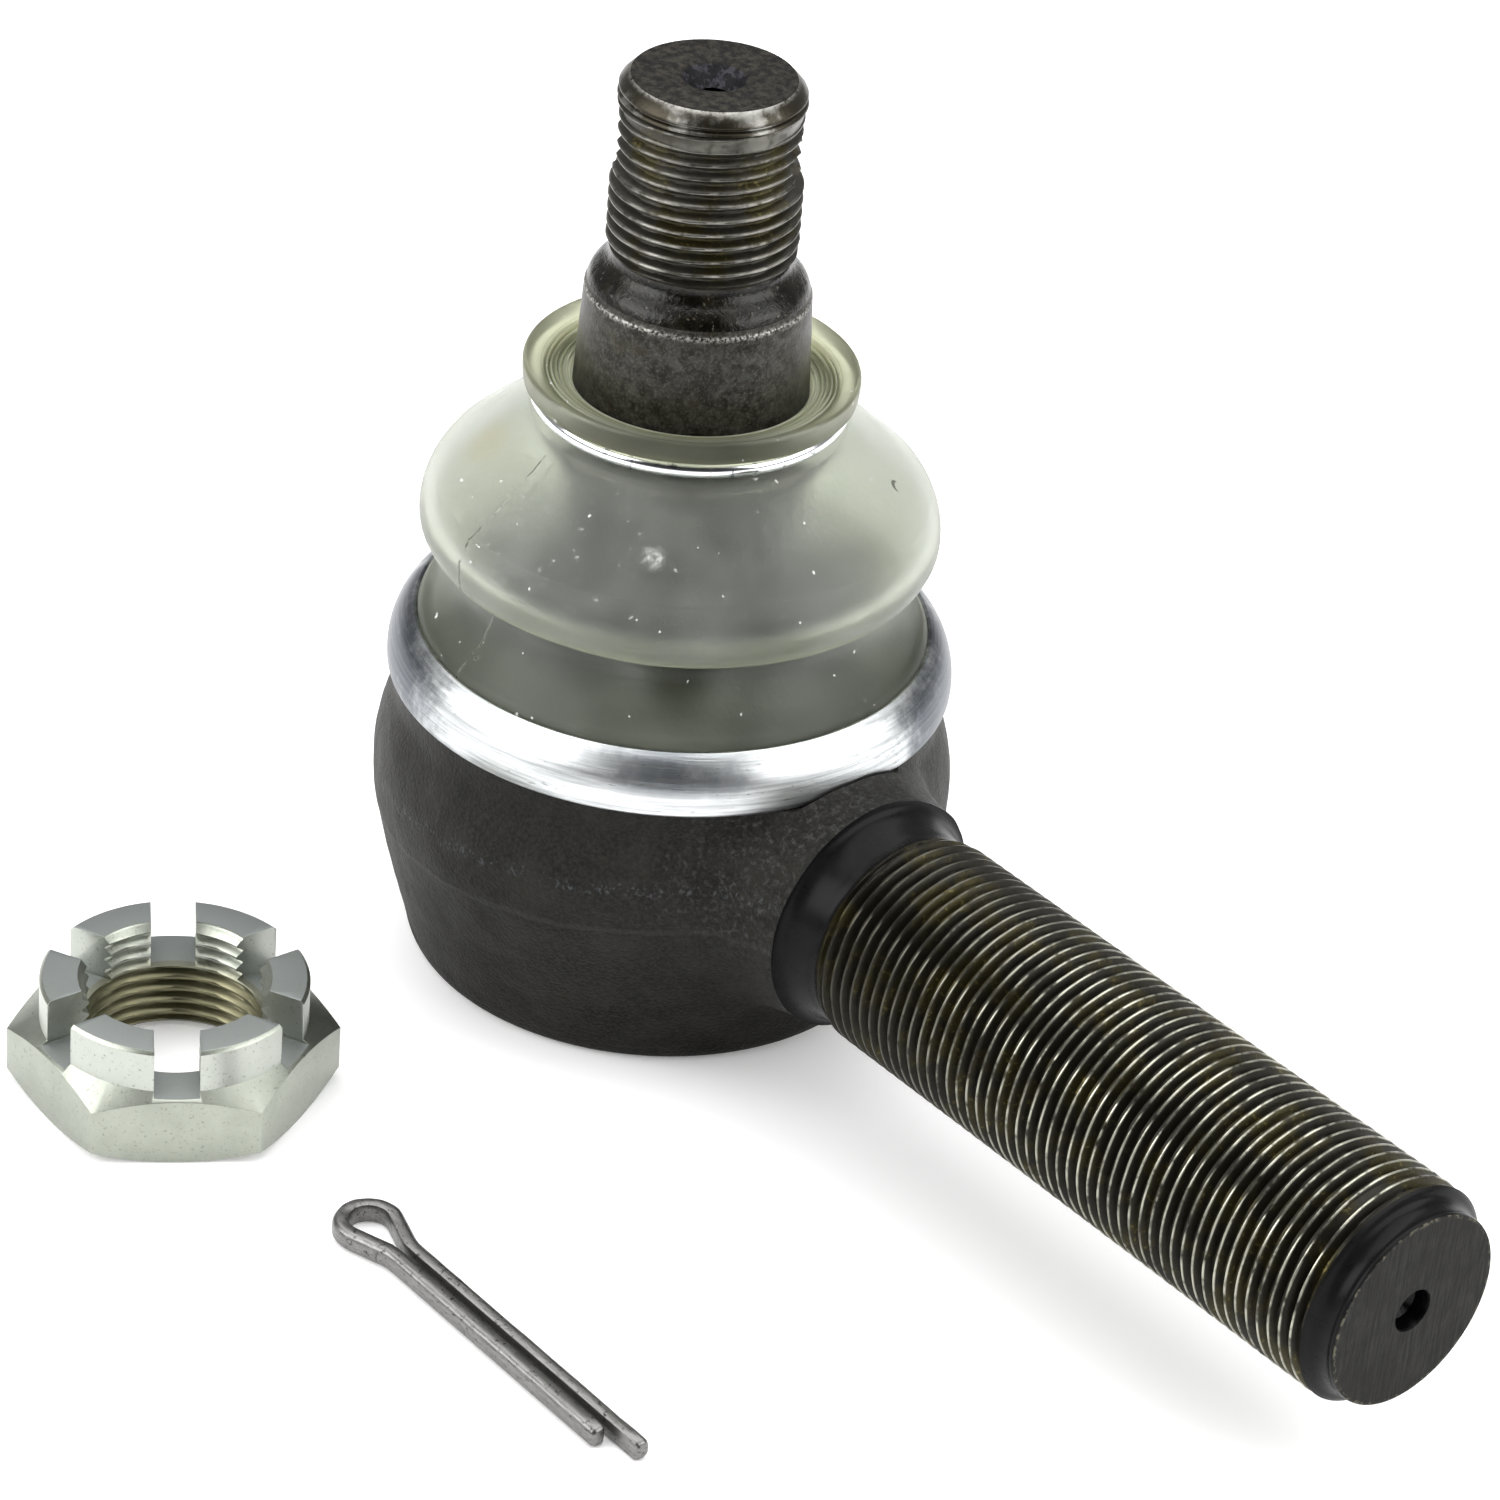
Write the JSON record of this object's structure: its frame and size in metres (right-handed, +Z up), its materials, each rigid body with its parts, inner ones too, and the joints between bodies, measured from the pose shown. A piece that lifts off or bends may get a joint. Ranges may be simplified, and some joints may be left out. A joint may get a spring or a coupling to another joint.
{
  "type": "tie rod end",
  "caption": "Ball joint end for a vehicle's steering linkage: threaded shank, tapered ball stud with a dust boot, loose slotted nut and split pin.",
  "frame": {"origin": "the centre of the ball, on the axis of the stud and on the axis of the shank", "axes": "+Z up the ball stud towards its thread; +X along the shank towards its threaded end; the housing's flat base faces -Z"},
  "size_m": [0.1464, 0.1073, 0.1029],
  "materials": {
    "black_forging": "black coated forging with a fine grain, worn bright along the thread crests",
    "stud_steel": "dark oiled steel, brighter on the thread crests and edges",
    "seat_plastic": "smooth, low friction",
    "spring_steel": "satin",
    "cover_steel": "pressed steel, satin",
    "seal_rubber": "matt",
    "boot_rubber": "milky, slightly translucent polyurethane",
    "bright_wire": "bright spring wire",
    "zinc_ring": "bright zinc plate with fine streaks round the ring",
    "zinc_nut": "zinc plate, blue-grey satin",
    "dark_wire": "dark drawn steel wire"
  },
  "bodies": {
    "housing": {"housing": "black_forging", "upper_ball_seat": "seat_plastic", "lower_ball_seat": "seat_plastic", "preload_disc_spring": "spring_steel", "end_cover": "cover_steel", "cover_seal": "seal_rubber", "boot_clamp_ring": "zinc_ring"},
    "boot": {"dust_boot": "boot_rubber"},
    "tilt": {"boot_wire_ring": "bright_wire"},
    "stud": {"ball_stud": "stud_steel"},
    "nut": {"slotted_nut": "zinc_nut"},
    "pin": {"split_pin": "dark_wire"}
  },
  "joints": [
    {"name": "tilt_direction", "type": "hinge", "parent": "housing", "child": "boot", "pos_m": [0, 0, 0], "axis": [0, 0, 1], "continuous": true},
    {"name": "stud_tilt", "type": "hinge", "parent": "boot", "child": "tilt", "pos_m": [0, 0, 0], "axis": [0, 1, 0], "range_deg": [-18, 18], "deforming": ["dust_boot"]},
    {"name": "stud_turn", "type": "hinge", "parent": "tilt", "child": "stud", "pos_m": [0, 0, 0], "axis": [0, 0, 1], "continuous": true},
    {"name": "nut_lift", "type": "slide", "parent": "housing", "child": "nut", "axis": [0, 0, 1], "range_m": [0, 0.03]},
    {"name": "pin_lift", "type": "slide", "parent": "housing", "child": "pin", "axis": [0, 0, 1], "range_m": [0, 0.03]}
  ]
}
